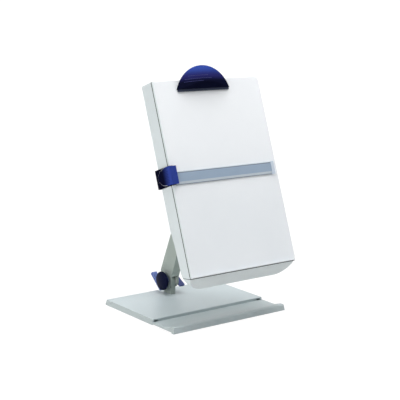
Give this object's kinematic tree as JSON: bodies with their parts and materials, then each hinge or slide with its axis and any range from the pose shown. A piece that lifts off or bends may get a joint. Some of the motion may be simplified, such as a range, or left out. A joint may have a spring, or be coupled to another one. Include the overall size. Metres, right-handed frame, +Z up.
{
  "type": "document holder",
  "caption": "Desk document holder: a clip board with a sliding line guide on a tilting arm, over a flat base with a shallow drawer and a pen trough.",
  "frame": {"origin": "on the desk, under the middle of the base", "axes": "+Z up, -Y towards the user, +X to the user's right"},
  "size_m": [0.2334, 0.2405, 0.4138],
  "materials": {
    "base_plastic": "fine moulded texture, light grey",
    "board_plastic": "fine moulded texture, light grey",
    "panel_plastic": "smooth satin, very light grey",
    "arm_plastic": "fine moulded texture, warm mid grey",
    "blue_plastic": "polished dark blue",
    "clip_saddle_plastic": "satin, near black",
    "guide_plastic": "clear tinted bar, blue grey",
    "cap_plastic": "satin, grey",
    "plated_steel": "zinc plated sheet",
    "bright_steel": "plain bright steel",
    "washer_plastic": "waxy, off white",
    "foot_rubber": "dull black",
    "felt": "short pile, near black"
  },
  "bodies": {
    "base": {"base_cover": "base_plastic", "base_floor": "plated_steel", "foot_1": "foot_rubber", "foot_2": "foot_rubber", "foot_3": "foot_rubber", "foot_4": "foot_rubber", "post": "arm_plastic", "ballast_left": "plated_steel", "ballast_right": "plated_steel", "drawer_guide_left": "base_plastic", "drawer_guide_right": "base_plastic", "cover_screw_1": "bright_steel", "cover_screw_2": "bright_steel", "cover_screw_3": "bright_steel", "cover_screw_4": "bright_steel", "post_screw_1": "bright_steel", "post_screw_2": "bright_steel", "post_screw_3": "bright_steel", "post_screw_4": "bright_steel"},
    "drawer": {"drawer_front": "base_plastic", "drawer_tray": "base_plastic"},
    "arm": {"arm_channel": "arm_plastic", "arm_back_cover": "arm_plastic", "friction_washer_left": "washer_plastic", "friction_washer_right": "washer_plastic"},
    "tilt_lever": {"tilt_lever_left": "blue_plastic", "tilt_lever_right": "blue_plastic", "hinge_axle": "bright_steel"},
    "board": {"back_shell": "board_plastic", "front_panel": "panel_plastic", "board_bracket": "arm_plastic", "board_pin": "bright_steel", "clip_saddle": "clip_saddle_plastic", "clip_pin": "bright_steel", "clip_spring": "bright_steel", "bracket_screw_1": "bright_steel", "bracket_screw_2": "bright_steel", "bracket_screw_3": "bright_steel", "bracket_screw_4": "bright_steel"},
    "clip": {"clip_jaw": "blue_plastic"},
    "slider": {"slider_body": "blue_plastic", "slider_felt": "felt", "slider_thumb": "blue_plastic", "line_guide": "guide_plastic", "guide_end_cap": "cap_plastic"}
  },
  "joints": [
    {"name": "drawer_slide", "type": "slide", "parent": "base", "child": "drawer", "axis": [0, -1, 0], "range_m": [0, 0.08]},
    {"name": "arm_tilt", "type": "hinge", "parent": "base", "child": "arm", "pos_m": [0, 0.072, 0.034], "axis": [1, 0, 0], "range_deg": [-20, 15]},
    {"name": "lever_turn", "type": "hinge", "parent": "base", "child": "tilt_lever", "pos_m": [0, 0.072, 0.034], "axis": [1, 0, 0], "range_deg": [-40, 0]},
    {"name": "board_tilt", "type": "hinge", "parent": "arm", "child": "board", "pos_m": [0, -0.01381, 0.27392], "axis": [1, 0, 0], "range_deg": [-25, 20]},
    {"name": "clip_open", "type": "hinge", "parent": "board", "child": "clip", "pos_m": [0, -0.02693, 0.39765], "axis": [1, 0, 0], "range_deg": [-25, 0], "stiffness_Nm_per_rad": 0.15, "springref_deg": 11.46},
    {"name": "guide_slide", "type": "slide", "parent": "board", "child": "slider", "axis": [0, 0.3469, 0.9379], "range_m": [-0.06, 0.115]}
  ]
}
